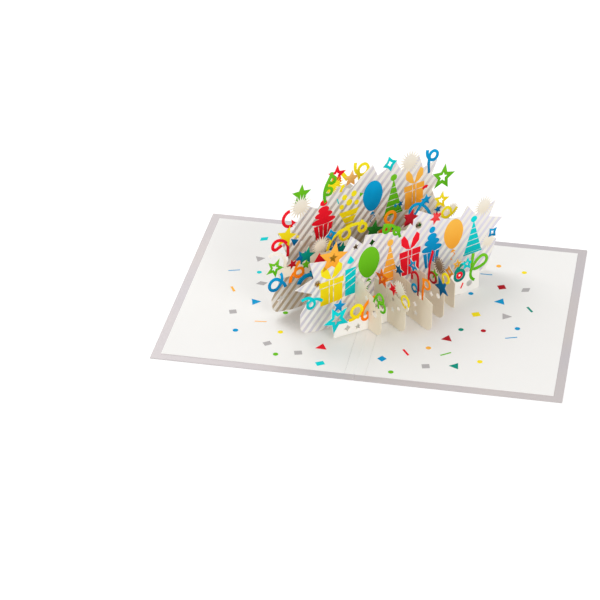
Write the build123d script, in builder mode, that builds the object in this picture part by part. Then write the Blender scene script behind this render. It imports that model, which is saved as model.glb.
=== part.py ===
from build123d import *
import os
from math import ceil, cos, pi, sin, sqrt

# Driving dimensions in millimetres

# Cover, one folded sheet of silver card
page_width = 127.0
page_depth = 177.8
cover_thickness = 0.4
crease_rise = 0.15
crease_reach = 0.8

# White inner sheets and the strip over the fold
border_width = 5.7
sheet_thickness = 0.3
gutter_reach = 6.3
gutter_thickness = 0.2
gutter_clearance = 0.1

# Slotted lattice of ten sheets at 45 degrees to the fold
panel_thickness = 0.4
panel_pitch = 14.7
lattice_shift = 9.2
slot_clearance = 0.1
slit_clearance = 0.2
page_gap = 0.6
foot_height = 3.0
foot_length = 15.0
foot_place = 50.0
short_foot_length = 7.0
short_foot_overhang = 6.1
slot_tops = (6.0, 12.0, 16.0, 16.0, 12.0)
open_end = 150.0

# Cut-outs along the edges of the sheets
streamer_width = 1.6
bend_step = 18.0
leg_round = 6.0
tip_round = 6.0
end_slope = 4.0
crest_setback = 4.9
crest_dip = 3.0
star_spike_count = 5
sparkle_spike_count = 4
burst_spike_count = 20
star_waist_ratio = 0.45
sparkle_waist_ratio = 0.55
burst_waist_ratio = 0.6

# Worked out from the sizes above
rows = len(slot_tops)
middle = (rows - 1) / 2
page_top = cover_thickness + sheet_thickness
slot_width = panel_thickness + slot_clearance
diagonal = 1 / sqrt(2)
spikes_of = {"star": star_spike_count, "sparkle": sparkle_spike_count, "burst": burst_spike_count}
waist_of = {"star": star_waist_ratio, "sparkle": sparkle_waist_ratio, "burst": burst_waist_ratio}


def lattice_point(along, across):
    # Place on the page of a point given along and across the long sheets
    return (along + across) * diagonal, lattice_shift + (along - across) * diagonal


def offset_of(row):
    # How far a sheet stands from the middle crossing, counted from the front
    return (middle - row) * panel_pitch


def past_front(distance):
    # Place on a cross sheet, that far out past the foremost long sheet
    return offset_of(0) + distance


def past_back(distance):
    # Place on a cross sheet, that far out past the rearmost long sheet
    return offset_of(rows - 1) - distance


def in_cell(row, shift):
    # Place on a cross sheet near the middle of the gap behind a long sheet
    return offset_of(row) - panel_pitch / 2 + shift


def long_plane(row):
    x, y = lattice_point(0, offset_of(row))
    return Plane(origin=(x, y, page_top), x_dir=(1, 1, 0), z_dir=(1, -1, 0))


def cross_plane(column):
    x, y = lattice_point(-offset_of(column), 0)
    return Plane(origin=(x, y, page_top), x_dir=(1, -1, 0), z_dir=(-1, -1, 0))


def spiked(form, size, mode=Mode.ADD):
    # Star, sparkle or burst: tips and waists in turn around a centre, first tip up
    spikes = spikes_of[form]
    outline = []
    for corner in range(2 * spikes):
        reach = size if corner % 2 == 0 else size * waist_of[form]
        angle = pi / 2 + corner * pi / spikes
        outline.append((reach * cos(angle), reach * sin(angle)))
    Polygon(*outline, align=None, mode=mode)


def ornaments(*pieces):
    # Each piece is its form, place along the sheet, height, size and turn
    for form, along, height, size, turn in pieces:
        with Locations(Location((along, height, 0), (0, 0, turn))):
            spiked(form, size)


def windows(*pieces):
    # Openings of the same forms, cut through the sheet
    for form, along, height, size, turn in pieces:
        with Locations(Location((along, height, 0), (0, 0, turn))):
            spiked(form, size, Mode.SUBTRACT)


def punched(*holes):
    # Each round hole is its place along the sheet, height and radius
    for along, height, radius in holes:
        with Locations((along, height)):
            Circle(radius, mode=Mode.SUBTRACT)


def streamer(along, height, heading, *bends):
    # Curled paper ribbon: each bend is a radius and a signed angle, cut in short straight steps
    start = Vector(along, height)
    for radius, sweep in bends:
        side = 90 if sweep > 0 else -90
        centre = start + Vector(radius, 0).rotate(Axis.Z, heading + side)
        steps = ceil(abs(sweep) / bend_step)
        outer = []
        inner = []
        for step in range(steps + 1):
            angle = heading - side + sweep * step / steps
            outer.append(centre + Vector(radius + streamer_width / 2, 0).rotate(Axis.Z, angle))
            inner.append(centre + Vector(radius - streamer_width / 2, 0).rotate(Axis.Z, angle))
        outline = outer + inner[::-1]
        if sweep < 0:
            outline.reverse()
        Polygon(*outline, align=None)
        heading = heading + sweep
        start = centre + Vector(radius, 0).rotate(Axis.Z, heading - side)


def sheet_body(*outline):
    Polygon(*outline, align=None)


def round_corner(sketch, corner, radius):
    fillet(sketch.vertices().sort_by_distance(corner)[0], radius)


def foot(place, length):
    # Glued foot that goes through a slit of the page sheet down to the cover
    with Locations((place, -sheet_thickness)):
        Rectangle(length, foot_height, align=(Align.CENTER, Align.MIN))


def bottom_slots(row):
    # Slots of a long sheet, open at its bottom edge
    for column in range(rows):
        with Locations((-offset_of(column), slot_tops[row])):
            Rectangle(slot_width, open_end, align=(Align.CENTER, Align.MAX), mode=Mode.SUBTRACT)


def top_slots():
    # Slots of a cross sheet, open at its top edge
    for row in range(rows):
        with Locations((offset_of(row), slot_tops[row])):
            Rectangle(slot_width, open_end, align=(Align.CENTER, Align.MIN), mode=Mode.SUBTRACT)


def cut_sheet():
    extrude(amount=panel_thickness / 2, both=True)


def finish(piece, name):
    piece.part.label = name
    export_step(piece.part, f"parts/{name}.step")


os.makedirs("parts", exist_ok=True)

# Cover, lying open, with the scored bead of its fold
with BuildPart() as cover:
    with BuildSketch(Plane.XZ):
        with BuildLine():
            Polyline(
                (-page_width, 0),
                (-crease_reach, 0),
                (0, crease_rise),
                (crease_reach, 0),
                (page_width, 0),
                (page_width, cover_thickness),
                (crease_reach, cover_thickness),
                (0, cover_thickness + crease_rise),
                (-crease_reach, cover_thickness),
                (-page_width, cover_thickness),
                close=True,
            )
        make_face()
    extrude(amount=page_depth / 2, both=True)
finish(cover, "cover")

# Strip over the fold, creased with the cover
gutter_top = cover_thickness + gutter_thickness
with BuildPart() as gutter_strip:
    with BuildSketch(Plane.XZ):
        with BuildLine():
            Polyline(
                (-gutter_reach, cover_thickness),
                (-crease_reach, cover_thickness),
                (0, cover_thickness + crease_rise),
                (crease_reach, cover_thickness),
                (gutter_reach, cover_thickness),
                (gutter_reach, gutter_top),
                (crease_reach, gutter_top),
                (0, gutter_top + crease_rise),
                (-crease_reach, gutter_top),
                (-gutter_reach, gutter_top),
                close=True,
            )
        make_face()
    extrude(amount=page_depth / 2 - border_width, both=True)
finish(gutter_strip, "gutter_strip")


def page_sheet(side):
    # White sheet on one half of the cover
    inner_edge = gutter_reach + gutter_clearance
    sheet_width = page_width - border_width - inner_edge
    with Locations((side * (inner_edge + sheet_width / 2), 0)):
        Rectangle(sheet_width, page_depth - 2 * border_width)
    slit_width = panel_thickness + slit_clearance
    outer_row = offset_of(0)
    long_slit = Location((*lattice_point(side * foot_place, side * outer_row), 0), (0, 0, 45))
    short_foot_place = past_front(short_foot_overhang)
    cross_slit = Location((*lattice_point(side * outer_row, side * short_foot_place), 0), (0, 0, -45))
    with Locations(long_slit):
        Rectangle(foot_length + slit_clearance, slit_width, mode=Mode.SUBTRACT)
    with Locations(cross_slit):
        Rectangle(short_foot_length + slit_clearance, slit_width, mode=Mode.SUBTRACT)


with BuildPart() as right_page:
    with BuildSketch(Plane.XY.offset(cover_thickness)):
        page_sheet(1)
    extrude(amount=sheet_thickness)
finish(right_page, "right_page")

with BuildPart() as left_page:
    with BuildSketch(Plane.XY.offset(cover_thickness)):
        page_sheet(-1)
    extrude(amount=sheet_thickness)
finish(left_page, "left_page")

# Front sheet, low, with its right foot glued down
with BuildPart() as front_panel:
    with BuildSketch(long_plane(0)):
        sheet_body(
            (-56, 3), (-30, page_gap), (58, page_gap), (58, 14), (49, 15), (36, 17),
            (30, 12), (-24, 11), (-55, 12),
        )
        foot(foot_place, foot_length)
        ornaments(
            ("star", -53.7, 16.1, 10.2, 22),
            ("star", -52, 25.5, 5.2, -16),
            ("star", 47.7, 21.5, 5.4, -5),
            ("star", 39.6, 24, 4.2, -4),
        )
        streamer(-44.5, 11.8, -8, (12, 40), (4, 290), (9, 30))
        streamer(-24.4, 22.5, 185, (11, 90), (2.4, 240))
        streamer(46.2, 22.8, 185, (9, 75), (3.7, 310))
        streamer(53.4, 15.4, -5, (16, 30), (3.6, 180), (14, 50), (6, 80))
        streamer(52, 15, 97, (40, -18))
        windows(
            ("star", -53.7, 16.1, 5.4, 22),
            ("star", 47.7, 21.5, 2.5, -5),
            ("star", 39.6, 24, 1.9, -4),
            ("star", -37.5, 5.2, 2.6, 0),
            ("sparkle", -45.5, 6.8, 2.6, 0),
        )
        punched((50, 6, 2.2))
        bottom_slots(0)
    cut_sheet()
finish(front_panel, "front_panel")

# Lower striped sheet
with BuildPart() as front_striped_panel:
    with BuildSketch(long_plane(1)) as outline:
        sheet_body(
            (-71, 4), (-57, 1), (75, page_gap), (83, 21), (74, 25), (87, 36),
            (76, 40), (81, 51), (65, 45), (58, 54), (53, 47), (40, 50), (19, 63),
            (9, 52), (-22, 59), (-24, 53), (-33, 62), (-42, 48), (-64, 53),
            (-61, 41), (-75, 37), (-62, 30), (-71, 18),
        )
        round_corner(outline, (-71, 4), leg_round)
        ornaments(
            ("star", -46.5, 50.6, 9.7, -12),
            ("burst", 71, 49, 6.8, 0),
            ("burst", 76, 22, 5.6, 0),
            ("sparkle", 79.4, 27, 4.6, 37),
        )
        streamer(4.6, 48.5, 105, (30, 15), (9, 40), (40, 8))
        streamer(-6.2, 60, 180, (2.2, 330))
        streamer(1, 56, 200, (2.2, 330))
        windows(
            ("star", -46.5, 50.6, 3.8, -12),
            ("sparkle", 79.4, 27, 2.2, 37),
            ("burst", -58, 36, 3.4, 0),
            ("star", -29.5, 53, 2.8, 0),
            ("sparkle", -17, 52, 2.8, 0),
            ("burst", 19, 52.5, 3.6, 0),
        )
        bottom_slots(1)
    cut_sheet()
finish(front_striped_panel, "front_striped_panel")

# White sheet between the striped ones
with BuildPart() as middle_panel:
    with BuildSketch(long_plane(2)):
        sheet_body(
            (-48, page_gap), (52, page_gap), (56, 36), (51, 50), (38, 40), (24, 48),
            (12, 42), (-4, 48), (-16, 42), (-28, 52), (-42, 46), (-52, 49),
            (-60, 44), (-79.5, 45.5), (-76, 38.5), (-58, 37), (-48, 26),
        )
        ornaments(
            ("burst", -46, 52, 5.6, 0),
            ("sparkle", -38, 57.4, 4.6, 4),
            ("star", 47.7, 54.1, 6.8, -13),
            ("star", 44.5, 42.8, 5.0, 1),
            ("burst", 57, 44, 4.6, 0),
            ("star", -80.1, 47.6, 7.0, -31),
            ("star", -67, 46, 4.0, 15),
            ("star", -56.2, 48.4, 6.6, -15),
            ("star", 23.5, 47.5, 6.8, -20),
            ("star", -5.2, 49.5, 5.6, -16),
            ("star", 35.6, 58.6, 4.6, -1),
        )
        streamer(-40.5, 46.5, 85, (12, -50), (14, -35), (3.7, -340), (22, -42), (2.8, -290), (12, 20))
        streamer(6.5, 43, 75, (30, -20), (3.9, 300))
        streamer(40.1, 40.3, 90, (20, 50), (8, 48), (4.2, 95))
        streamer(47.8, 36.2, 28, (40, 12), (3.5, 330), (12, 45))
        streamer(-60, 47, 205, (9, 70), (3.1, 290), (9, 65))
        streamer(-75.8, 42.5, 300, (8, -80), (3.9, -250), (14, -40))
        streamer(-52, 33, 150, (7, 100))
        streamer(-73, 45, 65, (9, 110), (5, 45))
        windows(
            ("sparkle", -38, 57.4, 2.2, 4),
            ("star", 47.7, 54.1, 3.4, -13),
            ("star", -80.1, 47.6, 3.6, -31),
        )
        bottom_slots(2)
    cut_sheet()
finish(middle_panel, "middle_panel")

# Upper striped sheet
with BuildPart() as rear_striped_panel:
    with BuildSketch(long_plane(3)) as outline:
        sheet_body(
            (-72, 4), (-57, 1.5), (52, page_gap), (57, 14), (53, 27), (63, 38),
            (55, 45), (51.5, 54), (57.5, 60), (51, 65), (55, 75), (44, 72.5), (40, 83),
            (27, 75), (22, 84), (8, 78), (4, 87), (-13, 75), (-27, 82),
            (-38, 69), (-47, 74), (-56, 60), (-68, 61), (-60, 40), (-73, 14),
        )
        round_corner(outline, (-72, 4), leg_round)
        ornaments(
            ("star", -50.4, 83, 7.6, -6),
            ("burst", -51, 75, 7.4, 0),
            ("star", -61.6, 56.5, 8.0, -20),
            ("sparkle", 17.3, 83.5, 5.8, 8),
            ("burst", 33, 80, 7.4, 0),
            ("star", 60.2, 60.3, 9.8, -11),
        )
        streamer(-57, 63.3, 195, (5.4, -190))
        streamer(-60.5, 42, 86, (40, 10), (7.5, 85), (3.6, 100))
        streamer(48.5, 67, 98, (40, -18), (3.2, -290), (7, -75))
        streamer(-32.2, 71.5, 108, (16, -55), (14, 25))
        streamer(-31.9, 77.6, -60, (2.4, 320))
        streamer(-29.1, 85, -60, (2.3, 320))
        windows(
            ("sparkle", 17.3, 83.5, 2.8, 8),
            ("star", 60.2, 60.3, 4.8, -11),
            ("sparkle", -66, 12, 2.8, 0),
        )
        bottom_slots(3)
    cut_sheet()
finish(rear_striped_panel, "rear_striped_panel")

# Rearmost sheet, with its left foot glued down
with BuildPart() as back_panel:
    with BuildSketch(long_plane(4)):
        sheet_body(
            (-58, page_gap), (30, page_gap), (52, 3), (52, 18), (44, 34), (36, 44),
            (26, 38), (14, 66), (4, 62), (-4, 70), (-14, 69), (-22, 70),
            (-32, 40), (-44, 34), (-58, 16),
        )
        foot(-foot_place, foot_length)
        ornaments(
            ("star", -13.4, 78.3, 7.4, -6),
            ("burst", -15, 71, 5.2, 0),
            ("star", -2, 72, 5.4, -10),
        )
        streamer(4.5, 60, 88, (80, 11), (3.8, -290), (7, -78))
        windows(("star", -13.4, 78.3, 3.0, -6))
        punched((-50, 8, 2.2))
        bottom_slots(4)
    cut_sheet()
finish(back_panel, "back_panel")


def cross_body(front_overhang, front_height, rear_overhang, rear_height, crest):
    # Low rounded ends, higher between the two striped sheets
    front_end = past_front(front_overhang)
    rear_end = past_back(rear_overhang)
    ridge = offset_of(1) - crest_setback
    sheet_body(
        (rear_end, page_gap),
        (front_end, page_gap),
        (front_end, front_height),
        (offset_of(0), front_height + end_slope),
        (offset_of(1), front_height + end_slope),
        (ridge, crest),
        (0, crest - crest_dip),
        (-ridge, crest),
        (offset_of(3), rear_height + end_slope),
        (rear_end, rear_height),
    )


# Cross sheets, counted from the front left
with BuildPart() as cross_panel_1:
    with BuildSketch(cross_plane(0)) as outline:
        cross_body(13.6, 23, 14.6, 16, 34)
        round_corner(outline, (past_front(13.6), page_gap), tip_round)
        foot(past_back(short_foot_overhang), short_foot_length)
        ornaments(("burst", in_cell(0, 0), 28, 0.38 * panel_pitch, 0))
        streamer(past_front(5.5), 23, 75, (20, -25), (3.2, -330))
        streamer(past_front(12.5), 20.3, -20, (3.4, 330))
        windows(("star", past_front(8.1), 22, 2.4, 0))
        punched((past_front(6.6), 14.5, 2.4))
        top_slots()
    cut_sheet()
finish(cross_panel_1, "cross_panel_1")

with BuildPart() as cross_panel_2:
    with BuildSketch(cross_plane(1)) as outline:
        cross_body(18.6, 22, 22.6, 18, 36)
        round_corner(outline, (past_front(18.6), page_gap), tip_round)
        round_corner(outline, (past_back(22.6), page_gap), tip_round)
        ornaments(
            ("star", in_cell(0, 1), 29, 0.42 * panel_pitch, 8),
            ("star", past_front(5.8), 27.5, 5.2, -28),
            ("burst", past_front(12.6), 30, 5.8, 0),
            ("star", past_back(14.6), 22, 5.4, 0),
        )
        streamer(past_front(14.5), 20.5, 70, (8, -20), (2.8, -310))
        streamer(past_front(17.5), 20.5, 10, (6, 40), (3.6, 300))
        windows(
            ("star", in_cell(0, 1), 29, 0.22 * panel_pitch, 8),
            ("star", past_front(5.6), 20, 2.4, 0),
        )
        punched((past_front(11.6), 16, 1.5))
        top_slots()
    cut_sheet()
finish(cross_panel_2, "cross_panel_2")

with BuildPart() as cross_panel_3:
    with BuildSketch(cross_plane(2)) as outline:
        cross_body(26.6, 22, 20.6, 19, 40)
        round_corner(outline, (past_front(26.6), page_gap), tip_round)
        round_corner(outline, (past_back(20.6), page_gap), tip_round)
        ornaments(
            ("star", in_cell(0, -1), 29, 0.33 * panel_pitch, -8),
            ("star", past_front(6), 39.8, 5.4, -28),
            ("sparkle", past_back(14.6), 22, 5.0, 0),
        )
        streamer(past_front(11.8), 20.5, 86, (60, 12), (3.2, 165), (10, 20))
        streamer(past_front(16.6), 20, 97, (40, -20), (3, -320), (8, -30))
        windows(
            ("star", past_front(6), 39.8, 2.6, -28),
            ("star", past_front(14.6), 21, 2.6, 6),
            ("sparkle", past_front(9.1), 13, 2.4, 0),
        )
        punched((past_front(7.1), 21, 1.4))
        top_slots()
    cut_sheet()
finish(cross_panel_3, "cross_panel_3")

with BuildPart() as cross_panel_4:
    with BuildSketch(cross_plane(3)) as outline:
        cross_body(19.6, 21, 16.6, 17, 40)
        round_corner(outline, (past_front(19.6), page_gap), tip_round)
        round_corner(outline, (past_back(16.6), page_gap), tip_round)
        ornaments(
            ("star", past_front(9.6), 30, 4.6, 6),
            ("burst", past_front(13.6), 38.4, 5.4, 0),
            ("star", past_front(16.6), 24, 6.6, 30),
            ("star", in_cell(2, 0), 42, 0.33 * panel_pitch, 0),
        )
        streamer(past_front(4.1), 23.5, 110, (6, -40), (3.4, -300))
        streamer(past_front(3), 22, 93, (60, -23))
        streamer(past_front(17.6), 26, 70, (8, 40), (3, -280))
        windows(("sparkle", past_front(6.6), 14, 2.4, 0))
        punched((past_front(13.6), 16, 1.8))
        top_slots()
    cut_sheet()
finish(cross_panel_4, "cross_panel_4")

with BuildPart() as cross_panel_5:
    with BuildSketch(cross_plane(4)) as outline:
        cross_body(11.6, 19, 12.6, 16, 44)
        round_corner(outline, (past_back(12.6), page_gap), tip_round)
        foot(past_front(short_foot_overhang), short_foot_length)
        ornaments(
            ("sparkle", past_front(5.6), 24.6, 4.8, 8),
            ("star", past_back(5.6), 20, 5.0, 0),
        )
        windows(("sparkle", past_front(5.6), 24.6, 2.4, 8))
        top_slots()
    cut_sheet()
finish(cross_panel_5, "cross_panel_5")
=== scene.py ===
from math import cos, pi, radians, sin, sqrt

import bmesh
import bpy
from mathutils import Matrix, Vector


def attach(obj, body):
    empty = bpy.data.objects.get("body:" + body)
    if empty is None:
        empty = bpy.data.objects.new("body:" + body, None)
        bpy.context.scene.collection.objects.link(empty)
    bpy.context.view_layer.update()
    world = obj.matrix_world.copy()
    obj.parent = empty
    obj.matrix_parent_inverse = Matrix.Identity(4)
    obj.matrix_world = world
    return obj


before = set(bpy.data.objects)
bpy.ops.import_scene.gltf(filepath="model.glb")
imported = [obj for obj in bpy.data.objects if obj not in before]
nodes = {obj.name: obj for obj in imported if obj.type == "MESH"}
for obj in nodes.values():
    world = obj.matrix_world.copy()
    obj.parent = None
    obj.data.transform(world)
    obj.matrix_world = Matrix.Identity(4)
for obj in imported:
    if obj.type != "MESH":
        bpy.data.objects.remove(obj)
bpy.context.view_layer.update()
print("card loaded,", len(nodes), "sheets")

# the lattice as the solids have it, in millimetres
lattice = {"rows": 5, "pitch": 14.7, "shift": 9.2, "pageTop": 0.7, "halfSheet": 0.2}
middleRow = (lattice["rows"] - 1) / 2
mm = 0.001
diagonal = 1 / sqrt(2)


def offsetOf(row):  # how far a sheet stands from the middle crossing
    return (middleRow - row) * lattice["pitch"]


def pastFront(distance):  # on a cross sheet, out past the foremost long sheet
    return offsetOf(0) + distance


def pastBack(distance):  # on a cross sheet, out past the rearmost long sheet
    return offsetOf(lattice["rows"] - 1) - distance


def inCell(row, shift):  # on a cross sheet, near the middle of the gap behind a long sheet
    return offsetOf(row) - lattice["pitch"] / 2 + shift


def sheetFrame(along, across, right, out):  # local millimetres to metres in the card's frame
    x = (along + across) * diagonal
    y = lattice["shift"] + (along - across) * diagonal
    turn = Matrix((right, (0, 0, 1), out)).transposed().to_4x4()
    return Matrix.Scale(mm, 4) @ Matrix.Translation((x, y, lattice["pageTop"])) @ turn


def longSheet(row):
    return sheetFrame(0, offsetOf(row), (diagonal, diagonal, 0), (diagonal, -diagonal, 0))


def crossSheet(column):
    return sheetFrame(-offsetOf(column), 0, (diagonal, -diagonal, 0), (-diagonal, -diagonal, 0))


def pageFrame(height):
    return Matrix.Scale(mm, 4) @ Matrix.Translation((0, 0, height))


# shader helpers
def linear(value):  # the standard curve from screen values to light
    value = value / 255
    return value / 12.92 if value <= 0.04045 else ((value + 0.055) / 1.055) ** 2.4


def tint(red, green, blue):
    return linear(red), linear(green), linear(blue), 1.0


def newGroup(name, inputs, outputs):
    group = bpy.data.node_groups.new(name, "ShaderNodeTree")
    for label, kind, value in inputs:
        socket = group.interface.new_socket(label, in_out="INPUT", socket_type=kind)
        socket.default_value = value
    for label, kind in outputs:
        group.interface.new_socket(label, in_out="OUTPUT", socket_type=kind)
    return group, group.nodes.new("NodeGroupInput"), group.nodes.new("NodeGroupOutput")


def addNode(tree, kind, **settings):
    made = tree.nodes.new(kind)
    for key, value in settings.items():
        setattr(made, key, value)
    return made


def maths(tree, operation, first, second=None, third=None):
    made = addNode(tree, "ShaderNodeMath", operation=operation)
    for place, value in enumerate((first, second, third)):
        if value is None:
            continue
        if isinstance(value, (int, float)):
            made.inputs[place].default_value = value
        else:
            tree.links.new(value, made.inputs[place])
    return made.outputs[0]


def blendColour(tree, share, first, second, mode="MIX"):
    made = addNode(tree, "ShaderNodeMix", data_type="RGBA", blend_type=mode)
    # the node's sockets for a colour mix are the share, 0, and the two colours, 6 and 7
    for place, value in ((0, share), (6, first), (7, second)):
        if isinstance(value, bpy.types.NodeSocket):
            tree.links.new(value, made.inputs[place])
        else:
            made.inputs[place].default_value = value
    return made.outputs[2]


def noise(tree, scale, detail, stretch=(1, 1, 1)):
    place = addNode(tree, "ShaderNodeTexCoord")
    mapping = addNode(tree, "ShaderNodeMapping")
    mapping.inputs["Scale"].default_value = stretch
    tree.links.new(place.outputs["Object"], mapping.inputs["Vector"])
    made = addNode(tree, "ShaderNodeTexNoise")
    made.inputs["Scale"].default_value = scale
    made.inputs["Detail"].default_value = detail
    tree.links.new(mapping.outputs["Vector"], made.inputs["Vector"])
    return made.outputs["Fac"]


def seenDirectly(tree):  # 1 for what is seen straight on, in a mirror or through glass
    path = addNode(tree, "ShaderNodeLightPath")
    seen = maths(tree, "MAXIMUM", path.outputs["Is Camera Ray"], path.outputs["Is Glossy Ray"])
    return maths(tree, "MAXIMUM", seen, path.outputs["Is Transmission Ray"])


# grain of uncoated card: fibres, faint clouds, a soft tooth
grain = {
    "fibre": 1400, "fibreStretch": (1, 0.4, 1), "cloud": 45, "tooth": 5200, "mixShare": 0.5,
    "toothShare": 0.4, "shade": (0.36, 0.31, 0.25, 1), "rough": 0.66, "roughSwing": 0.18,
    "relief": 0.00002, "specular": 0.3,
}
paperGrain, grainIn, grainOut = newGroup(
    "paperGrain",
    [("Tone", "NodeSocketColor", (1, 1, 1, 1)), ("Mottle", "NodeSocketFloat", 0.05)],
    [("Color", "NodeSocketColor"), ("Roughness", "NodeSocketFloat"), ("Height", "NodeSocketFloat")],
)
fibre = noise(paperGrain, grain["fibre"], 3, grain["fibreStretch"])
cloud = noise(paperGrain, grain["cloud"], 2)
tooth = noise(paperGrain, grain["tooth"], 1)
clouded = maths(paperGrain, "MULTIPLY", cloud, grain["mixShare"])
mottle = maths(paperGrain, "MULTIPLY_ADD", fibre, grain["mixShare"], clouded)
darker = maths(paperGrain, "MULTIPLY", mottle, grainIn.outputs["Mottle"])
paperTone = blendColour(paperGrain, darker, grainIn.outputs["Tone"], grain["shade"])
paperRough = maths(paperGrain, "MULTIPLY_ADD", fibre, grain["roughSwing"], grain["rough"])
paperHeight = maths(paperGrain, "MULTIPLY_ADD", tooth, grain["toothShare"], fibre)
paperGrain.links.new(paperTone, grainOut.inputs["Color"])
paperGrain.links.new(paperRough, grainOut.inputs["Roughness"])
paperGrain.links.new(paperHeight, grainOut.inputs["Height"])

# silver foil laid on card: fine pebbling and a slow drift of tone
foil = {"pebble": 2600, "drift": 14, "satin": 0.34, "roughSwing": 0.2, "relief": 0.00001}
foilGrain, foilIn, foilOut = newGroup(
    "foilGrain",
    [
        ("Tone", "NodeSocketColor", (1, 1, 1, 1)), ("Drift", "NodeSocketColor", (1, 1, 1, 1)),
        ("Satin", "NodeSocketFloat", foil["satin"]),
    ],
    [("Color", "NodeSocketColor"), ("Roughness", "NodeSocketFloat"), ("Height", "NodeSocketFloat")],
)
pebble = noise(foilGrain, foil["pebble"], 2)
drift = noise(foilGrain, foil["drift"], 1)
foilTone = blendColour(foilGrain, drift, foilIn.outputs["Tone"], foilIn.outputs["Drift"])
foilRough = maths(foilGrain, "MULTIPLY_ADD", pebble, foil["roughSwing"], foilIn.outputs["Satin"])
foilGrain.links.new(foilTone, foilOut.inputs["Color"])
foilGrain.links.new(foilRough, foilOut.inputs["Roughness"])
foilGrain.links.new(pebble, foilOut.inputs["Height"])

# printed ink: light at the top of a shape, deeper at its foot, with a fine fleck
inkFinish = {
    "fleck": 1900, "wash": 160, "fleckShare": 0.2, "washShare": 0.24, "centre": -0.22,
    "rough": 0.52, "roughSwing": 0.15, "relief": 0.000008, "specular": 0.07,
}
inkTone, inkIn, inkOut = newGroup(
    "inkTone",
    [("Light", "NodeSocketColor", (1, 1, 1, 1)), ("Deep", "NodeSocketColor", (0, 0, 0, 1))],
    [("Color", "NodeSocketColor"), ("Roughness", "NodeSocketFloat"), ("Height", "NodeSocketFloat")],
)
rise = addNode(inkTone, "ShaderNodeAttribute", attribute_name="rise")
fleck = noise(inkTone, inkFinish["fleck"], 2)
wash = noise(inkTone, inkFinish["wash"], 2)
flecked = maths(inkTone, "MULTIPLY_ADD", fleck, inkFinish["fleckShare"], inkFinish["centre"])
uneven = maths(inkTone, "MULTIPLY_ADD", wash, inkFinish["washShare"], flecked)
climb = maths(inkTone, "ADD", rise.outputs["Fac"], uneven)
climb.node.use_clamp = True
inkColour = blendColour(inkTone, climb, inkIn.outputs["Deep"], inkIn.outputs["Light"])
inkRough = maths(inkTone, "MULTIPLY_ADD", fleck, inkFinish["roughSwing"], inkFinish["rough"])
inkTone.links.new(inkColour, inkOut.inputs["Color"])
inkTone.links.new(inkRough, inkOut.inputs["Roughness"])
inkTone.links.new(fleck, inkOut.inputs["Height"])

bumpStrength = 0.5


def startMaterial(name, group, relief):
    material = bpy.data.materials.new(name)
    material.use_nodes = True
    tree = material.node_tree
    surface = tree.nodes["Principled BSDF"]
    placed = addNode(tree, "ShaderNodeGroup", node_tree=group)
    bump = addNode(tree, "ShaderNodeBump")
    bump.inputs["Strength"].default_value = bumpStrength
    bump.inputs["Distance"].default_value = relief
    tree.links.new(placed.outputs["Height"], bump.inputs["Height"])
    tree.links.new(bump.outputs["Normal"], surface.inputs["Normal"])
    tree.links.new(placed.outputs["Color"], surface.inputs["Base Color"])
    tree.links.new(placed.outputs["Roughness"], surface.inputs["Roughness"])
    return material, surface, placed


def paperParts(name, tone, mottleAmount):
    material, surface, placed = startMaterial(name, paperGrain, grain["relief"])
    placed.inputs["Tone"].default_value = tint(*tone)
    placed.inputs["Mottle"].default_value = mottleAmount
    surface.inputs["Specular IOR Level"].default_value = grain["specular"]
    return material, surface, placed


def paperMaterial(name, tone, mottleAmount):
    return paperParts(name, tone, mottleAmount)[0]


def inkMaterial(name, light, deep):
    material, surface, placed = startMaterial(name, inkTone, inkFinish["relief"])
    placed.inputs["Light"].default_value = tint(*light)
    placed.inputs["Deep"].default_value = tint(*deep)
    surface.inputs["Specular IOR Level"].default_value = inkFinish["specular"]
    return material


# finishes of the card's own sheets
pagePaper = paperMaterial("pagePaper", (244, 243, 241), 0.05)
whiteCard = paperMaterial("whiteCard", (244, 241, 236), 0.06)
# cream card: partly the card's own tone and partly painted warm shade, for the sheets that stand in shade
creamAndShadeCard = paperMaterial("creamAndShadeCard", (240, 230, 210), 0.06)

silver = {"tone": (182, 179, 188), "drift": (200, 191, 184), "satin": 0.48, "metal": 0.66}
silverCard, silverSurface, silverGroup = startMaterial("silverCard", foilGrain, foil["relief"])
silverGroup.inputs["Tone"].default_value = tint(*silver["tone"])
silverGroup.inputs["Drift"].default_value = tint(*silver["drift"])
silverGroup.inputs["Satin"].default_value = silver["satin"]
silverSurface.inputs["Metallic"].default_value = silver["metal"]

# striped card: foil stripes climbing to the right, on the front face alone, toned from foot to top; the
# darker, warmer foot tone is a painted reflection of the shaded paper in front
stripe = {
    "period": 4.8, "foilShare": 0.46, "edge": 0.05, "metal": 0.7, "driftShare": 0.97,
    "paper": (244, 240, 234), "mottle": 0.05, "halfTurn": 0.5, "frontFacing": 0.5,
}


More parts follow.
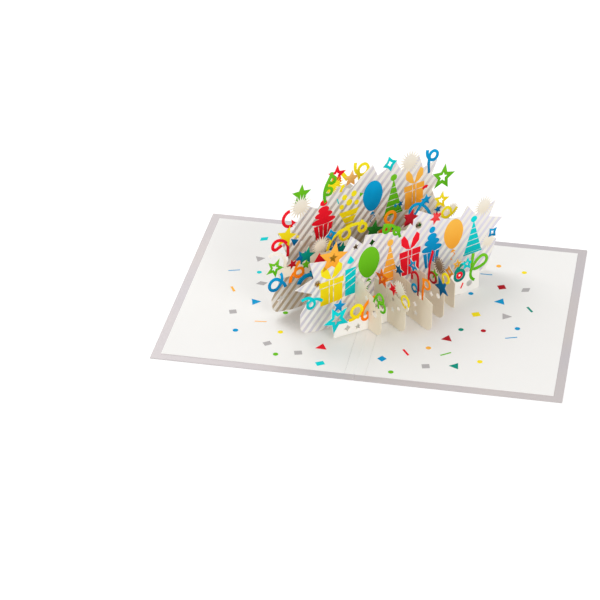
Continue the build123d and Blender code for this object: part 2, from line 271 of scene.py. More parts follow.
def stripedMaterial(name, foot, top, footHeight, topHeight):
    material, surface, paper = paperParts(name, stripe["paper"], stripe["mottle"])
    tree = material.node_tree
    place = addNode(tree, "ShaderNodeTexCoord")
    climbLine = addNode(tree, "ShaderNodeVectorMath", operation="DOT_PRODUCT")
    climbLine.inputs[1].default_value = (0.5, 0.5, -diagonal)  # across the stripes, in the sheet's plane
    tree.links.new(place.outputs["Object"], climbLine.inputs[0])
    turns = maths(tree, "DIVIDE", climbLine.outputs["Value"], stripe["period"] * mm)
    swing = maths(tree, "PINGPONG", turns, stripe["halfTurn"])
    band = addNode(tree, "ShaderNodeMapRange", interpolation_type="SMOOTHSTEP")
    band.inputs["From Min"].default_value = stripe["foilShare"] / 2 + stripe["edge"]
    band.inputs["From Max"].default_value = stripe["foilShare"] / 2 - stripe["edge"]
    tree.links.new(swing, band.inputs["Value"])
    facing = addNode(tree, "ShaderNodeVectorMath", operation="DOT_PRODUCT")
    facing.inputs[1].default_value = (diagonal, -diagonal, 0)
    geometry = addNode(tree, "ShaderNodeNewGeometry")
    tree.links.new(geometry.outputs["True Normal"], facing.inputs[0])
    front = maths(tree, "GREATER_THAN", facing.outputs["Value"], stripe["frontFacing"])
    foilMask = maths(tree, "MULTIPLY", band.outputs["Result"], front)
    parts = addNode(tree, "ShaderNodeSeparateXYZ")
    tree.links.new(place.outputs["Object"], parts.inputs[0])
    # height blend of the foil tone: painted reflection, darker and warmer towards the foot
    height = addNode(tree, "ShaderNodeMapRange", interpolation_type="SMOOTHSTEP")
    height.inputs["From Min"].default_value = footHeight * mm
    height.inputs["From Max"].default_value = topHeight * mm
    tree.links.new(parts.outputs["Z"], height.inputs["Value"])
    stripeFoil = addNode(tree, "ShaderNodeGroup", node_tree=foilGrain)
    for label, share in (("Tone", 1.0), ("Drift", stripe["driftShare"])):
        paler = [tint(*[channel * share for channel in tone]) for tone in (foot, top)]
        tree.links.new(blendColour(tree, height.outputs["Result"], *paler), stripeFoil.inputs[label])
    tree.links.new(
        blendColour(tree, foilMask, paper.outputs["Color"], stripeFoil.outputs["Color"]),
        surface.inputs["Base Color"],
    )
    tree.links.new(maths(tree, "MULTIPLY", foilMask, stripe["metal"]), surface.inputs["Metallic"])
    rough = addNode(tree, "ShaderNodeMix", data_type="FLOAT")
    tree.links.new(foilMask, rough.inputs[0])
    tree.links.new(paper.outputs["Roughness"], rough.inputs[2])
    tree.links.new(stripeFoil.outputs["Roughness"], rough.inputs[3])
    tree.links.new(rough.outputs[0], surface.inputs["Roughness"])
    return material


# tones at the foot and the top, then the heights in millimetres that they blend between; the foot tones
# paint the reflection of shaded paper into the foil
lowerStripes = stripedMaterial("lowerStripes", (224, 220, 230), (230, 226, 238), 5, 50)
upperStripes = stripedMaterial("upperStripes", (218, 200, 174), (224, 219, 224), 25, 75)

sheetFinish = {
    "cover": silverCard, "left_page": pagePaper, "right_page": pagePaper, "gutter_strip": pagePaper,
    "front_striped_panel": lowerStripes, "rear_striped_panel": upperStripes,
    "front_panel": whiteCard, "back_panel": whiteCard,
}
for name, node in nodes.items():
    node.data.materials.clear()
    node.data.materials.append(sheetFinish.get(name, creamAndShadeCard))  # the middle and cross sheets take a cream tone, partly their own and partly painted warm shade
print("sheets dressed")

# inks, each light then deep
inks = {
    "red": inkMaterial("redInk", (250, 28, 48), (224, 16, 36)),
    "darkRed": inkMaterial("darkRedInk", (196, 22, 38), (150, 14, 26)),
    "orange": inkMaterial("orangeInk", (255, 194, 80), (255, 160, 34)),
    "tangerine": inkMaterial("tangerineInk", (255, 152, 28), (250, 118, 6)),
    "peach": inkMaterial("peachInk", (255, 208, 132), (255, 182, 92)),
    "flame": inkMaterial("flameInk", (248, 122, 30), (228, 84, 12)),
    "gold": inkMaterial("goldInk", (236, 184, 60), (206, 142, 22)),
    "yellow": inkMaterial("yellowInk", (252, 236, 36), (242, 208, 8)),
    "green": inkMaterial("greenInk", (116, 200, 36), (80, 172, 10)),
    "darkGreen": inkMaterial("darkGreenInk", (48, 138, 44), (20, 96, 34)),
    "teal": inkMaterial("tealInk", (0, 156, 132), (0, 112, 108)),
    "cyan": inkMaterial("cyanInk", (0, 222, 224), (0, 186, 192)),
    "blue": inkMaterial("blueInk", (0, 168, 226), (0, 114, 168)),
    "navy": inkMaterial("navyInk", (0, 120, 176), (0, 78, 126)),
    "cream": inkMaterial("creamInk", (248, 243, 232), (232, 220, 198)),
    "grey": inkMaterial("greyInk", (188, 184, 184), (164, 160, 162)),
    "salmon": inkMaterial("salmonInk", (255, 84, 84), (232, 44, 52)),
    # taupe: on the fourth cross sheet's burst it stands for the painted shade of a cream burst
    "taupe": inkMaterial("taupeInk", (150, 126, 102), (104, 82, 62)),
    "white": inkMaterial("whiteInk", (252, 251, 248), (246, 244, 240)),
}

# print layers: thin closed shapes laid on or round a sheet, in millimetres
film = {"base": 0.02, "step": 0.0015, "sink": 0.05, "leastTall": 0.001}


def newLayer(name, matrix, slot):
    return {
        "name": name, "matrix": matrix, "slot": slot, "count": 0,
        "points": [], "faces": [], "inks": [], "rise": [],
    }


def addRings(layer, ink, rings, caps, low, high, lift=None):
    # rings are outlines of one shape, walls round each; caps are faces over the rings' points
    start = len(layer["points"])
    flat = [point for ring in rings for point in ring]
    size = len(flat)
    bottom = min(y for x, y in flat)
    tall = max(max(y for x, y in flat) - bottom, film["leastTall"])
    lift = lift or [0] * size
    for height, way in ((high, 1), (low, -1)):
        layer["points"] += [(x, y, height + way * up) for (x, y), up in zip(flat, lift)]
        layer["rise"] += [(y - bottom) / tall for x, y in flat]
    faces = [[start + i for i in cap] for cap in caps]
    faces += [[start + size + i for i in reversed(cap)] for cap in caps]
    first = 0
    for ring in rings:
        for i in range(len(ring)):
            here, after = start + first + i, start + first + (i + 1) % len(ring)
            faces.append([here, here + size, after + size, after])
        first += len(ring)
    layer["faces"] += faces
    layer["inks"] += [ink] * len(faces)


def layerSpan(layer, both):  # each new shape lies a hair over the last
    layer["count"] += 1
    proud = lattice["halfSheet"] + film["base"] + film["step"] * layer["count"]
    return (-proud if both else lattice["halfSheet"] - film["sink"]), proud


def addOutline(layer, ink, outline, both=True):
    low, high = layerSpan(layer, both)
    addRings(layer, ink, [outline], [list(range(len(outline)))], low, high)


def addBand(layer, ink, outer, inner):
    low, high = layerSpan(layer, True)
    count = len(outer)
    caps = [[i, (i + 1) % count, count + (i + 1) % count, count + i] for i in range(count)]
    addRings(layer, ink, [outer, inner], caps, low, high)


def addStrip(layer, ink, left, right):
    low, high = layerSpan(layer, True)
    count = len(left)
    outline = left + right[::-1]
    caps = [[i, i + 1, 2 * count - 2 - i, 2 * count - 1 - i] for i in range(count - 1)]
    climb = [ribbon["climb"] * i / count for i in range(count)]
    addRings(layer, ink, [outline], caps, low, high, climb + climb[::-1])


def finishLayer(layer):
    mesh = bpy.data.meshes.new(layer["name"])
    mesh.from_pydata([layer["matrix"] @ Vector(p) for p in layer["points"]], [], layer["faces"])
    used = sorted(set(layer["inks"]))
    for ink in used:
        mesh.materials.append(inks[ink])
    mesh.polygons.foreach_set("material_index", [used.index(ink) for ink in layer["inks"]])
    attribute = mesh.attributes.new("rise", "FLOAT", "POINT")
    attribute.data.foreach_set("value", layer["rise"])
    work = bmesh.new()
    work.from_mesh(mesh)
    bmesh.ops.recalc_face_normals(work, faces=work.faces)
    work.to_mesh(mesh)
    work.free()
    piece = bpy.data.objects.new(layer["name"], mesh)
    bpy.context.scene.collection.objects.link(piece)
    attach(piece, "root")
    print(layer["name"], layer["count"], "shapes")


spikesOf = {"star": 5, "sparkle": 4, "burst": 20}
waistOf = {"star": 0.45, "sparkle": 0.55, "burst": 0.5}
cutEdge = 0.12  # print of a star or sparkle stops this far inside its stated size
# ribbons wrap the cut ones, and climb a little along their length so that their crossings lie apart
ribbon = {"width": 2.0, "slim": 1.62, "step": 8, "climb": 0.12}
burstReach = 1.14  # rays run on past the cut sheet
ringShare = 0.82  # how much of a window stays open inside its printed ring


def spiked(form, along, height, size, turn):
    outline = []
    for corner in range(2 * spikesOf[form]):
        reach = size if corner % 2 == 0 else size * waistOf[form]
        angle = pi / 2 + radians(turn) + corner * pi / spikesOf[form]
        outline.append((along + reach * cos(angle), height + reach * sin(angle)))
    return outline


def addOrnament(layer, form, along, height, size, turn, ink, window=0, both=True):
    reach = size * burstReach if form == "burst" else size - cutEdge
    outer = spiked(form, along, height, reach, turn)
    if window:
        addBand(layer, ink, outer, spiked(form, along, height, window * ringShare, turn))
    else:
        addOutline(layer, ink, outer, both)


def addCurl(layer, ink, along, height, heading, bends, width):
    left, right = [], []
    half = width / 2
    x, y = along, height
    for radius, sweep in bends:
        side = 1 if sweep > 0 else -1
        centreX = x + radius * cos(radians(heading + 90 * side))
        centreY = y + radius * sin(radians(heading + 90 * side))
        steps = max(2, int(abs(sweep) / ribbon["step"]))
        for step in range(1 if left else 0, steps + 1):
            angle = radians(heading - 90 * side + sweep * step / steps)
            inner, outer = radius - half, radius + half
            near = (centreX + inner * cos(angle), centreY + inner * sin(angle))
            far = (centreX + outer * cos(angle), centreY + outer * sin(angle))
            left.append(near if side > 0 else far)
            right.append(far if side > 0 else near)
        heading += sweep
        x = centreX + radius * cos(radians(heading - 90 * side))
        y = centreY + radius * sin(radians(heading - 90 * side))
    addStrip(layer, ink, right, left)


def roundShape(x, y, across, tall, count=28):
    angles = [2 * pi * i / count for i in range(count)]
    return [(x + across / 2 * cos(angle), y + tall / 2 * sin(angle)) for angle in angles]


def boxShape(x0, y0, x1, y1):
    return [(x0, y0), (x1, y0), (x1, y1), (x0, y1)]


# small flat shapes, each from its length and width
flatShapes = {
    "dot": lambda a, b: roundShape(0, 0, a, b, 24),
    "box": lambda a, b: boxShape(-a / 2, -b / 2, a / 2, b / 2),
    "skew": lambda a, b: [
        (-a / 2 - b / 5, -b / 2), (a / 2 - b / 5, -b / 2), (a / 2 + b / 5, b / 2), (-a / 2 + b / 5, b / 2),
    ],
    "wedge": lambda a, b: [(-a / 3, -b / 2), (2 * a / 3, 0), (-a / 3, b / 2)],
    "burst": lambda a, b: spiked("burst", 0, 0, a / 2, 0),
    "diamond": lambda a, b: [(-a / 2, 0), (0, -b / 2), (a / 2, 0), (0, b / 2)],
}


def addBit(layer, shape, x, y, length, width, turn, ink, both=True):
    c, s = cos(radians(turn)), sin(radians(turn))
    outline = flatShapes[shape](length, width)
    addOutline(layer, ink, [(x + c * a - s * b, y + s * a + c * b) for a, b in outline], both)


# cut-outs and print of each lattice sheet, in millimetres along it and above the page
# ornaments: form, place, height, size, turn, ink, window, and False where only the front has it
# curls: ink, place, height, heading, bends of a radius and an angle, and a width if it isn't the usual one
# bits: shape, place, height, length, width, turn, ink, and False where only the front has it
frontPanel = {
    "ornaments": [
        ("star", -53.7, 16.1, 10.2, 22, "cyan", 5.4), ("star", -52, 25.5, 5.2, -16, "blue"),
        ("star", 47.7, 21.5, 5.4, -5, "cyan", 2.5), ("star", 39.6, 24, 4.2, -4, "gold", 1.9),
    ],
    "curls": [
        ("yellow", -44.5, 11.8, -8, ((12, 40), (4, 290), (9, 30))),
        ("tangerine", -24.4, 22.5, 185, ((11, 90), (2.4, 240))),
        ("teal", 46.2, 22.8, 185, ((9, 75), (3.7, 310))), ("green", 52, 15, 97, ((40, -18),)),
        ("green", 53.4, 15.4, -5, ((16, 30), (3.6, 180), (14, 50), (6, 80))),
    ],
    "bits": [
        ("dot", 41.8, 14.8, 5.2, 5.2, 0, "red"), ("dot", 41.8, 14.8, 1.6, 1.6, 0, "white"),
        ("box", 44.1, 6.3, 4.2, 1.2, 66, "red"),
    ],
}
frontStriped = {
    "ornaments": [
        ("burst", 71, 49, 6.8, 0, "cream"), ("burst", 76, 22, 5.6, 0, "cream"),
        ("star", -46.5, 50.6, 11.4, -12, "orange", 4.6), ("sparkle", 79.4, 27, 4.6, 37, "blue", 2.2),
        ("star", 12.4, 59.9, 6.4, -20, "darkRed"), ("star", 32.3, 53.2, 5.0, 17, "salmon"),
    ],
    "curls": [
        ("green", 4.6, 48.5, 105, ((30, 15), (9, 40), (40, 8))), ("green", -6.2, 60, 180, ((2.2, 330),)),
        ("green", 1, 56, 200, ((2.2, 330),)), ("cyan", -70, 27.6, 25, ((7, -95), (2.7, -270), (8, -75))),
    ],
    "bits": [],
}
middlePanel = {
    "ornaments": [
        ("burst", -46, 52, 5.6, 0, "cream"), ("sparkle", -38, 57.4, 4.6, 4, "blue", 2.2),
        ("star", 47.7, 54.1, 6.8, -13, "yellow", 3.4), ("star", 44.5, 42.8, 5.0, 1, "red"),
        ("burst", 57, 44, 4.6, 0, "cream"), ("star", -80.1, 47.6, 7.0, -31, "green", 3.6),
        ("star", -59.5, 48.5, 5.6, 25, "navy"), ("star", -67, 46, 4.0, 15, "darkRed"),
        ("star", -56.2, 48.4, 6.6, -15, "teal"), ("star", -56.9, 42.3, 3.9, -8, "green"),
        ("star", -34.5, 46.6, 5.8, 12, "navy"), ("star", -29.6, 44.6, 4.8, -14, "teal"),
        ("star", -47.4, 24.2, 2.2, 0, "gold"), ("star", -45.6, 22.4, 2.0, 30, "navy"),
        ("star", 31, 40.9, 2.6, 0, "darkGreen"), ("star", 28.8, 41.6, 2.0, 20, "taupe"),
        ("star", 23.5, 47.5, 6.8, -20, "darkRed"), ("star", -5.2, 49.5, 7.2, -16, "darkGreen"),
        ("star", 35.6, 58.6, 4.6, -1, "blue"), ("star", 45.4, 48.2, 3.0, 10, "navy"),
    ],
    "curls": [
        ("yellow", -40.5, 46.5, 85, ((12, -50), (14, -35), (3.7, -340), (22, -42), (2.8, -290), (12, 20))),
        ("tangerine", 6.5, 43, 75, ((30, -20), (3.9, 300))), ("red", 0.5, 47.5, -60, ((9, 75), (4, 40))),
        ("blue", 40.1, 40.3, 90, ((20, 50), (8, 48), (4.2, 95), (3, 140), (22, -25))),
        ("yellow", 47.8, 36.2, 28, ((40, 12), (3.5, 330), (12, 45))),
        ("tangerine", -60, 47, 205, ((9, 70), (3.1, 290), (9, 65))),
        ("blue", -75.8, 42.5, 300, ((8, -80), (3.9, -250), (14, -40))),
        ("blue", -52, 33, 150, ((7, 100),), 3.0),
        ("cream", -73, 45, 65, ((9, 110), (5, 45))),
    ],
    "bits": [
        ("wedge", -46.8, 42.2, 7.4, 11, 90, "red"), ("wedge", -26.8, 41, 7, 5, 100, "red"),
        ("box", -51.8, 32.8, 8.5, 2.2, -66, "navy"), ("dot", -18.2, 42, 5.4, 5.4, 0, "taupe"),
        ("dot", -5.7, 41, 5.4, 5.4, 0, "darkGreen"), ("wedge", -0.5, 45.5, 5, 4, -40, "tangerine"),
        ("skew", 4.5, 46, 6, 4, 15, "red"), ("dot", 9.5, 46.5, 4, 3, 0, "teal"),
        ("dot", -35.2, 39.6, 7, 7, 0, "gold"),
    ],
}
rearStriped = {
    "ornaments": [
        ("star", -50.4, 83, 7.6, -6, "green"), ("burst", -51, 75, 7.4, 0, "cream"),
        ("star", -61.6, 56.5, 8.0, -20, "yellow"), ("sparkle", 17.3, 83.5, 5.8, 8, "cyan", 2.8),
        ("burst", 33, 80, 7.4, 0, "cream"), ("star", 60.2, 60.3, 9.8, -11, "green", 4.8),
        ("star", 26.3, 51.5, 2.6, 10, "navy", 0, False), ("star", 22.3, 51.5, 2.0, -20, "blue", 0, False),
        ("star", 8.7, 47.3, 3.0, 0, "cream", 0, False), ("star", -53.2, 53.9, 1.8, 0, "yellow", 0, False),
    ],
    "curls": [
        ("red", -57, 63.3, 195, ((5.4, -190),)),
        ("red", -60.5, 42, 86, ((40, 10), (7.5, 85), (3.6, 100), (2.2, 100), (30, 8))),
        ("blue", 48.5, 67, 98, ((40, -18), (3.2, -290), (7, -75))),
        ("green", -32.2, 71.5, 108, ((16, -55), (14, 25))), ("green", -31.9, 77.6, -60, ((2.4, 320),)),
        ("green", -29.1, 85, -60, ((2.3, 320),)), ("yellow", -20.6, 75.2, 88, ((4.5, -65),)),
        ("red", 43.6, 56, 75, ((2.6, -110),)),
    ],
    "bits": [
        ("wedge", -55.5, 51, 6, 5.2, 133, "navy"), ("wedge", -56.4, 65.1, 4.2, 3.2, 115, "red"),
        ("burst", -27.4, 80.6, 11, 11, 0, "yellow"), ("wedge", -4.9, 68.6, 3, 3.4, 0, "green", False),
        ("diamond", -42.2, 52, 3.4, 2.6, 30, "white", False),
        ("diamond", -50.2, 48.7, 3.4, 2.6, 30, "white", False),
        ("diamond", -41.3, 47.3, 3.2, 2.4, 30, "white", False),
        ("box", -22.7, 69.3, 4.2, 0.9, -75, "cyan", False),
    ],
}
backPanel = {
    "ornaments": [
        ("star", -13.4, 78.3, 7.4, -6, "red", 3.0), ("burst", -15, 71, 6.0, 0, "yellow"),
        ("star", -2, 72, 6.2, -10, "peach"),
    ],
    "curls": [("yellow", 4.5, 60, 88, ((80, 11), (3.8, -290), (7, -78), (20, -10)))],
    "bits": [("box", -7, 75.2, 7, 2.8, -55, "yellow")],
}
crossPanel1 = {
    "ornaments": [
        ("burst", inCell(0, 0), 28, 0.38 * lattice["pitch"], 0, "cream"),
        ("star", pastFront(-2.3), 22, 2.4, 0, "white"),
    ],
    "curls": [
        ("green", pastFront(5.5), 23, 75, ((20, -25), (3.2, -330))),
        ("green", pastFront(12.5), 20.3, -20, ((3.4, 330),)),
    ],
    "bits": [],
}
crossPanel2 = {
    "ornaments": [
        ("star", inCell(0, 1), 29, 0.48 * lattice["pitch"], 8, "flame", 0.22 * lattice["pitch"]),
        ("star", pastFront(5.8), 27.5, 5.2, -28, "red"), ("burst", pastFront(12.6), 30, 5.8, 0, "cream"),
        ("star", pastBack(14.6), 22, 5.4, 0, "cyan"),
        ("star", pastFront(5.6), 12.5, 2.4, 0, "white"),
    ],
    "curls": [
        ("cream", pastFront(14.5), 20.5, 70, ((8, -20), (2.8, -310))),
        ("yellow", pastFront(17.5), 20.5, 10, ((6, 40), (3.6, 300))),
    ],
    "bits": [],
}
crossPanel3 = {
    "ornaments": [
        ("star", inCell(0, -1), 29, 0.33 * lattice["pitch"], -8, "navy"),
        ("star", pastFront(6), 39.8, 5.4, -28, "blue", 2.6),
        ("sparkle", pastBack(14.6), 22, 5.0, 0, "orange"),
        ("star", pastFront(10.2), 7, 2.4, 0, "white"),
    ],
    "curls": [
        ("blue", pastFront(10.4), 24.3, 90, ((2.4, 350),)),
        ("darkRed", pastFront(11.8), 20.5, 86, ((60, 12), (3.2, 165), (10, 20))),
        ("tangerine", pastFront(16.6), 20, 97, ((40, -20), (3, -320), (8, -30))),
    ],
    "bits": [],
}
crossPanel4 = {
    "ornaments": [
        # the taupe burst is a cream burst with its shade painted in
        ("burst", pastFront(13.6), 38.4, 5.4, 0, "taupe"), ("star", pastFront(9.6), 30, 4.6, 6, "green"),
        ("star", pastFront(16.6), 24, 7.4, 30, "navy"),
        ("star", inCell(2, 0), 42, 0.33 * lattice["pitch"], 0, "gold"),
        ("star", pastFront(6.8), 6.2, 2.4, 0, "white"),
    ],
    "curls": [
        ("darkRed", pastFront(4.1), 23.5, 110, ((6, -40), (3.4, -300))),
        ("red", pastFront(3), 22, 93, ((60, -23),)),
        ("yellow", pastFront(17.6), 26, 70, ((8, 40), (3, -280))),
    ],
    "bits": [],
}
crossPanel5 = {
    "ornaments": [
        ("sparkle", pastFront(5.6), 24.6, 4.8, 8, "orange", 2.4),
        ("star", pastBack(5.6), 20, 5.0, 0, "green"),
    ],
    "curls": [],
    "bits": [],
}


def printSheet(name, matrix, slot, design, width=ribbon["width"]):
    layer = newLayer(name, matrix, slot)
    for bit in design["bits"]:
        addBit(layer, *bit)
    for ink, along, height, heading, bends, *ownWidth in design["curls"]:
        addCurl(layer, ink, along, height, heading, bends, *(ownWidth or [width]))
    for ornament in design["ornaments"]:
        addOrnament(layer, *ornament)
    return layer


finishLayer(printSheet("frontPanelPrint", longSheet(0), "white_card", frontPanel))
finishLayer(printSheet("frontStripedCutouts", longSheet(1), "striped_card", frontStriped))
finishLayer(printSheet("middlePanelPrint", longSheet(2), "white_card", middlePanel))
finishLayer(printSheet("rearStripedCutouts", longSheet(3), "striped_card", rearStriped))
finishLayer(printSheet("backPanelPrint", longSheet(4), "white_card", backPanel))
crossDesigns = [crossPanel1, crossPanel2, crossPanel3, crossPanel4, crossPanel5]
for column, design in enumerate(crossDesigns):
    name = "crossPanel%dPrint" % (column + 1)
    finishLayer(printSheet(name, crossSheet(column), "white_card", design, ribbon["slim"]))


# party shapes printed along the striped sheets, each drawn in a box of its own width and height
def gift(w, h):
    gap = 0.5
    side = 0.4 * w
    inset = 0.05 * w
    boxTop = 0.44 * h
    lidTop = 0.6 * h
    shapes = []
    for low, high, out in ((0, boxTop, inset), (boxTop + gap, lidTop, 0)):
        shapes.append(boxShape(out, low, side, high))
        shapes.append(boxShape(side + gap, low, w - side - gap, high))
        shapes.append(boxShape(w - side, low, w - out, high))
    knot = lidTop + gap
    bow = ((0, 0), (0.2, 0.04), (0.42, 0.16), (0.44, 0.3), (0.3, 0.38), (0.12, 0.24))
    for sign in (-1, 1):
        shapes.append([(w / 2 + sign * x * w, knot + y * h) for x, y in bow])
    return shapes


def balloon(w, h):
    steps = 32
    pull = 0.16  # how much slimmer it is towards the knot
    body = []
    for i in range(steps):
        angle = 2 * pi * i / steps
        squeeze = 1 - pull * max(0, -sin(angle))
        body.append((w / 2 + w / 2 * squeeze * cos(angle), 0.64 * h + 0.36 * h * sin(angle)))
    knot = [(w / 2 - 0.14 * w, 0.2 * h), (w / 2 + 0.14 * w, 0.2 * h), (w / 2, 0.275 * h)]
    thread = 0.35
    sway = 0.1 * w
    drop = 0.19 * h
    turns = [i / 10 for i in range(11)]
    string = []
    for side in (-thread, thread):
        line = [(w / 2 + side + sway * sin(2 * pi * turn), drop * (1 - turn)) for turn in turns]
        string += line if side < 0 else line[::-1]
    return [body, knot, string]


def partyHat(w, h):
    gap = 0.55
    top = 0.86 * h
    slim = 0.96
    tip = 0.2
    shapes = []
    levels = (0.06, 0.27, 0.44, 0.62, 0.8, 1.0)
    for low, high in zip(levels, levels[1:]):
        y0 = low * top
        y1 = high * top - gap
        half0 = w / 2 * (1 - low) * slim + tip
        half1 = w / 2 * (1 - y1 / top) * slim + tip
        shapes.append([(w / 2 - half0, y0), (w / 2 + half0, y0), (w / 2 + half1, y1), (w / 2 - half1, y1)])
    shapes.append(boxShape(0, 0, w, 0.05 * top))
    shapes.append(roundShape(w / 2, 0.92 * h, 0.34 * w, 0.16 * h, 20))
    return shapes


def cupcake(w, h):
    gap = 0.5
    shapes = []
    for i in range(4):
        a, b = i / 4, (i + 1) / 4
        foot0, foot1 = 0.2 * w + 0.6 * w * a, 0.2 * w + 0.6 * w * b - gap
        rim0, rim1 = 0.08 * w + 0.84 * w * a, 0.08 * w + 0.84 * w * b - gap
        shapes.append([(foot0, 0), (foot1, 0), (rim1, 0.36 * h), (rim0, 0.36 * h)])
    for y, across in ((0.45, 1.0), (0.6, 0.74), (0.73, 0.46)):
        shapes.append(roundShape(w / 2, y * h, across * w, 0.17 * h))
    shapes.append(roundShape(w / 2, 0.9 * h, 0.3 * w, 0.15 * h, 18))
    return shapes


def candle(w, h):
    gap = 0.6
    shapes = []
    step = 0.7 * h / 4
    lean = 0.12 * h
    for i in range(4):
        low, high = i * step, (i + 1) * step - gap
        slant = lean if i < 3 else 0
        first = lean if i else 0
        shapes.append([(0, low), (w, low + first), (w, high + slant), (0, high)])
    flame = [(0, 0.12), (0.34, 0.3), (0.3, 0.5), (0, 1.0), (-0.3, 0.5), (-0.34, 0.3)]
    shapes.append([(w / 2 + x * w, 0.76 * h + y * 0.24 * h) for x, y in flame])
    return shapes


def popper(w, h):
    gap = 0.55
    tip = 0.3
    spread = 0.42
    levels = (0.0, 0.2, 0.36, 0.52)
    mouth = levels[-1]
    shapes = []
    for low, high in zip(levels, levels[1:]):
        half0 = w * spread * low / mouth + tip
        half1 = w * spread * high / mouth + tip
        shapes.append([
            (w / 2 - half0, low * h), (w / 2 + half0, low * h),
            (w / 2 + half1, high * h - gap), (w / 2 - half1, high * h - gap),
        ])
    dots = ((0.18, 0.64, 0.2), (0.5, 0.7, 0.26), (0.82, 0.64, 0.2), (0.3, 0.86, 0.22), (0.7, 0.88, 0.24))
    for x, y, size in dots:
        shapes.append(roundShape(x * w, y * h, size * w, size * w, 16))
    return shapes


# left edge, right edge, foot and top on the sheet, then ink and shape
lowerRow = [
    (-57, -38.5, 18.5, 47, "yellow", gift), (-37.3, -29.3, 19.5, 48, "cyan", candle),
    (-27.5, -11, 18.5, 49.5, "green", balloon), (-10, 4, 19, 49.5, "orange", partyHat),
    (4.5, 21, 18.5, 48.5, "red", gift), (22, 38, 18, 48.5, "blue", cupcake),
    (39.5, 55, 17, 47.5, "orange", balloon), (56, 71, 16.5, 44.5, "cyan", partyHat),
]
upperRow = [
    (-42.5, -24.5, 46, 74.5, "red", cupcake), (-23, -5, 45.5, 74.5, "yellow", popper),
    (-3.5, 12, 45, 75.5, "blue", balloon), (13, 28, 45.5, 75, "green", partyHat),
    (29, 45, 45.5, 74, "orange", gift),
]
for rowName, row, shapes in (("lowerRowPrint", 1, lowerRow), ("upperRowPrint", 3, upperRow)):
    layer = newLayer(rowName, longSheet(row), "striped_card")
    for left, right, foot, top, ink, shape in shapes:
        tall = top - foot
        first = len(layer["rise"])
        for outline in shape(right - left, tall):
            addOutline(layer, ink, [(left + x, foot + y) for x, y in outline], both=False)
        for i in range(first, len(layer["rise"])):  # one wash of ink over the whole shape
            layer["rise"][i] = (layer["points"][i][1] - foot) / tall
    finishLayer(layer)

# confetti printed on the pages: shape, x, y, length, width, turn, ink
confettiRise = 0.7  # flat ink, near its light tone
leftConfetti = [
    ("skew", -86.1, 62.3, 5.0, 4.0, 22, "cyan"), ("wedge", -84.0, 37.1, 5.9, 7.0, 22, "grey"),
    ("box", -97.4, 19.9, 7.7, 0.9, 18, "blue"), ("dot", -80.8, 20.6, 3.4, 3.4, 0, "cyan"),
    ("skew", -76.4, 7.7, 5.2, 4.0, -8, "grey"), ("box", -93.4, -2.5, 6.2, 1.6, -60, "orange"),
    ("wedge", -76.2, -14.7, 5.9, 7.4, 15, "blue"), ("box", -87.7, -28.7, 4.6, 4.4, 19, "grey"),
    ("dot", -54.6, -23.8, 3.4, 3.4, 0, "green"), ("box", -68.1, -36.5, 7.6, 0.9, 6, "orange"),
    ("dot", -81.6, -49.3, 3.6, 3.6, 0, "blue"), ("dot", -53.5, -46.1, 3.5, 3.5, 0, "yellow"),
    ("box", -59.0, -60.1, 4.8, 4.0, 34, "grey"), ("wedge", -25.1, -57.9, 6.4, 7.1, -152, "red"),
    ("box", -38.2, -66.7, 4.8, 4.2, 16, "grey"), ("dot", -51.6, -70.9, 3.4, 3.4, 0, "green"),
    ("box", -22.8, -75.6, 5.2, 4.0, 30, "cyan"),
]
rightConfetti = [
    ("diamond", 13.7, -63.4, 6.0, 6.6, 8, "blue"), ("dot", 21.3, -76.7, 3.4, 3.4, 0, "green"),
    ("box", 27.1, -53.8, 7.2, 1.5, -55, "red"), ("dot", 40.1, -46.3, 3.4, 3.4, 0, "orange"),
    ("box", 41.3, -66.5, 4.8, 4.4, 14, "grey"), ("box", 51.5, -50.9, 7.5, 1.2, 36, "green"),
    ("wedge", 50.1, -33.8, 6.2, 7.3, -158, "darkRed"), ("wedge", 58.9, -62.9, 5.8, 6.9, 187, "teal"),
    ("dot", 73.3, -55.4, 3.5, 3.5, 0, "yellow"), ("dot", 57.2, -22.0, 3.4, 3.4, 0, "teal"),
    ("dot", 71.2, -20.7, 3.4, 3.4, 0, "darkRed"), ("dot", 91.9, -14.3, 3.5, 3.5, 0, "blue"),
    ("box", 89.2, -25.3, 7.7, 0.9, 20, "blue"), ("box", 64.3, -2.9, 5.0, 4.6, 24, "yellow"),
    ("wedge", 83.1, -1.8, 6.1, 7.0, 7, "grey"), ("wedge", 77.8, 14.9, 6.4, 7.4, -167, "blue"),
    ("box", 76.6, 32.2, 4.8, 4.8, 24, "darkRed"), ("dot", 58.0, 20.9, 3.4, 3.4, 0, "blue"),
    ("dot", 71.7, 57.5, 3.4, 3.4, 0, "orange"), ("box", 64.9, 45.9, 7.8, 0.9, 1, "blue"),
    ("dot", 89.0, 52.6, 3.4, 3.4, 0, "yellow"), ("skew", 92.2, 31.8, 4.8, 4.2, 14, "grey"),
    ("box", 97.2, 9.1, 6.5, 1.5, -56, "teal"),
]
for name, pieces in (("leftPageConfetti", leftConfetti), ("rightPageConfetti", rightConfetti)):
    layer = newLayer(name, pageFrame(lattice["pageTop"] - lattice["halfSheet"]), "page_paper")
    for bit in pieces:
        addBit(layer, *bit, both=False)
    layer["rise"] = [confettiRise] * len(layer["rise"])
    finishLayer(layer)

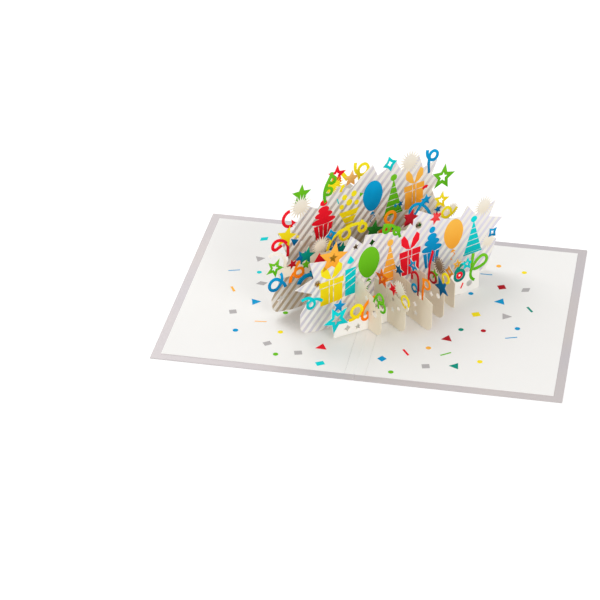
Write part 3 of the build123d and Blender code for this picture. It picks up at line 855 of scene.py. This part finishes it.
# floor, light and camera
studio = {
    "floorSize": 6.0, "floorGap": 0.0002, "floorTone": (0.8, 0.8, 0.8, 1), "floorGlow": 0.35,
    "face": 17.5, "top": 6.8, "fill": 5.0, "sky": 0.6,
}
floorMesh = bpy.data.meshes.new("studioFloor")
half = studio["floorSize"] / 2
corners = [(x, y, -studio["floorGap"]) for x, y in boxShape(-half, -half, half, half)]
floorMesh.from_pydata(corners, [], [(0, 1, 2, 3)])
floor = bpy.data.objects.new("studioFloor", floorMesh)
bpy.context.scene.collection.objects.link(floor)
floorPaint = bpy.data.materials.new("floorPaint")
floorPaint.use_nodes = True
floorTree = floorPaint.node_tree
floorTree.nodes.clear()
floorOut = addNode(floorTree, "ShaderNodeOutputMaterial")
matte = addNode(floorTree, "ShaderNodeBsdfDiffuse")
matte.inputs["Color"].default_value = studio["floorTone"]
glow = addNode(floorTree, "ShaderNodeEmission")
glow.inputs["Color"].default_value = (1, 1, 1, 1)
floorGlow = maths(floorTree, "MULTIPLY", seenDirectly(floorTree), studio["floorGlow"])
floorTree.links.new(floorGlow, glow.inputs["Strength"])
together = addNode(floorTree, "ShaderNodeAddShader")
floorTree.links.new(matte.outputs[0], together.inputs[0])
floorTree.links.new(glow.outputs[0], together.inputs[1])
floorTree.links.new(together.outputs[0], floorOut.inputs["Surface"])
floorMesh.materials.append(floorPaint)

world = bpy.data.worlds.new("studioWorld")
bpy.context.scene.world = world
world.use_nodes = True
worldTree = world.node_tree
backdrop = worldTree.nodes["Background"]
backdrop.inputs["Color"].default_value = (1, 1, 1, 1)
skyGlow = maths(worldTree, "MULTIPLY_ADD", seenDirectly(worldTree), 1 - studio["sky"], studio["sky"])
worldTree.links.new(skyGlow, backdrop.inputs["Strength"])


def softLamp(name, place, aim, size, power, colour):
    lamp = bpy.data.lights.new(name, "AREA")
    lamp.shape = "DISK"
    lamp.size = size
    lamp.energy = power
    lamp.color = colour
    holder = bpy.data.objects.new(name, lamp)
    holder.location = place
    holder.rotation_euler = (Vector(aim) - Vector(place)).to_track_quat("-Z", "Y").to_euler()
    bpy.context.scene.collection.objects.link(holder)


softLamp("faceLamp", (1.3, -1.5, 1.1), (0, 0, 0.04), 1.1, studio["face"], (1.0, 0.985, 0.96))
softLamp("topLamp", (-0.68, 0.62, 0.93), (0, 0, 0), 1.0, studio["top"], (1.0, 1.0, 1.0))
softLamp("fillLamp", (-1.2, -1.6, 0.6), (0, 0, 0.03), 1.2, studio["fill"], (1.0, 0.98, 0.95))

photoCamera = {
    "place": (0.184109, -1.219464, 0.794358), "look": (-0.158469, 0.826048, -0.540863),
    "lens": 137.5555, "sensor": 36,
}
cameraData = bpy.data.cameras.new("photoCamera")
cameraData.lens = photoCamera["lens"]
cameraData.sensor_width = photoCamera["sensor"]
camera = bpy.data.objects.new("photoCamera", cameraData)
camera.location = photoCamera["place"]
camera.rotation_euler = Vector(photoCamera["look"]).to_track_quat("-Z", "Y").to_euler()
bpy.context.scene.collection.objects.link(camera)
bpy.context.scene.camera = camera
bpy.context.scene.view_settings.view_transform = "Standard"
print("studio ready")
